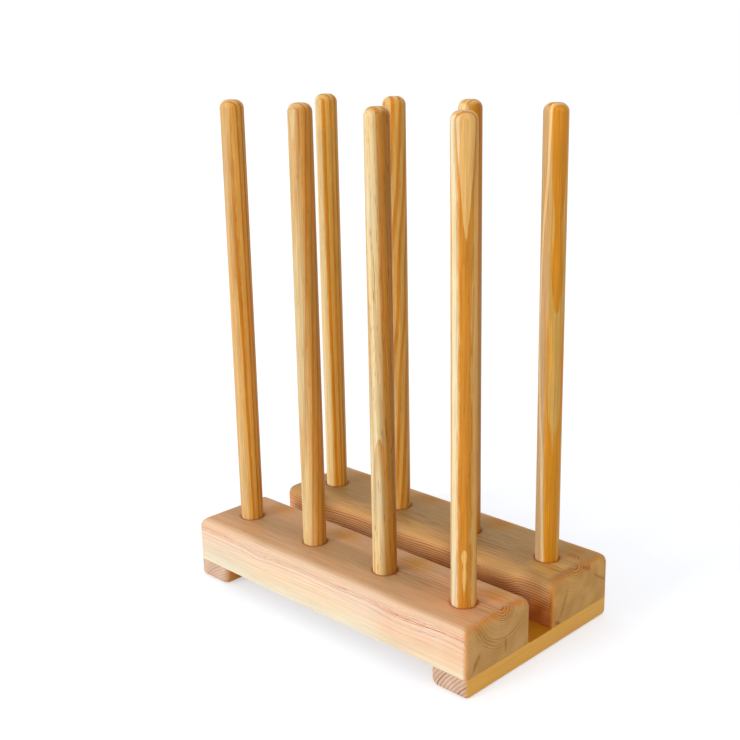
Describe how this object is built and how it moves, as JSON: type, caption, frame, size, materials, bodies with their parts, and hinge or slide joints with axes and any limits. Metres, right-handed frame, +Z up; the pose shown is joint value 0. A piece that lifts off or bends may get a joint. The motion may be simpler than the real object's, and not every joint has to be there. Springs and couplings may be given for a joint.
{
  "type": "boot rack",
  "caption": "Free-standing wooden boot rack: two parallel beams on cross battens, with tall round pegs that hold upturned boots.",
  "frame": {"origin": "on the floor, in the middle of the rack's footprint", "axes": "+X along the beams, +Y towards the rear beam, +Z up along the pegs"},
  "size_m": [0.4, 0.232, 0.538],
  "materials": {
    "beam_wood": "planed softwood, thin satin varnish",
    "batten_wood": "planed softwood, golden satin varnish",
    "peg_wood": "turned pine, satin varnish",
    "screw_steel": "zinc-plated wood screws"
  },
  "bodies": {
    "root": {"left_batten": "batten_wood", "right_batten": "batten_wood", "front_beam": "beam_wood", "rear_beam": "beam_wood", "peg_front_1": "peg_wood", "peg_front_2": "peg_wood", "peg_front_3": "peg_wood", "peg_front_4": "peg_wood", "peg_rear_1": "peg_wood", "peg_rear_2": "peg_wood", "peg_rear_3": "peg_wood", "peg_rear_4": "peg_wood", "left_batten_screws": "screw_steel", "right_batten_screws": "screw_steel"}
  },
  "joints": []
}
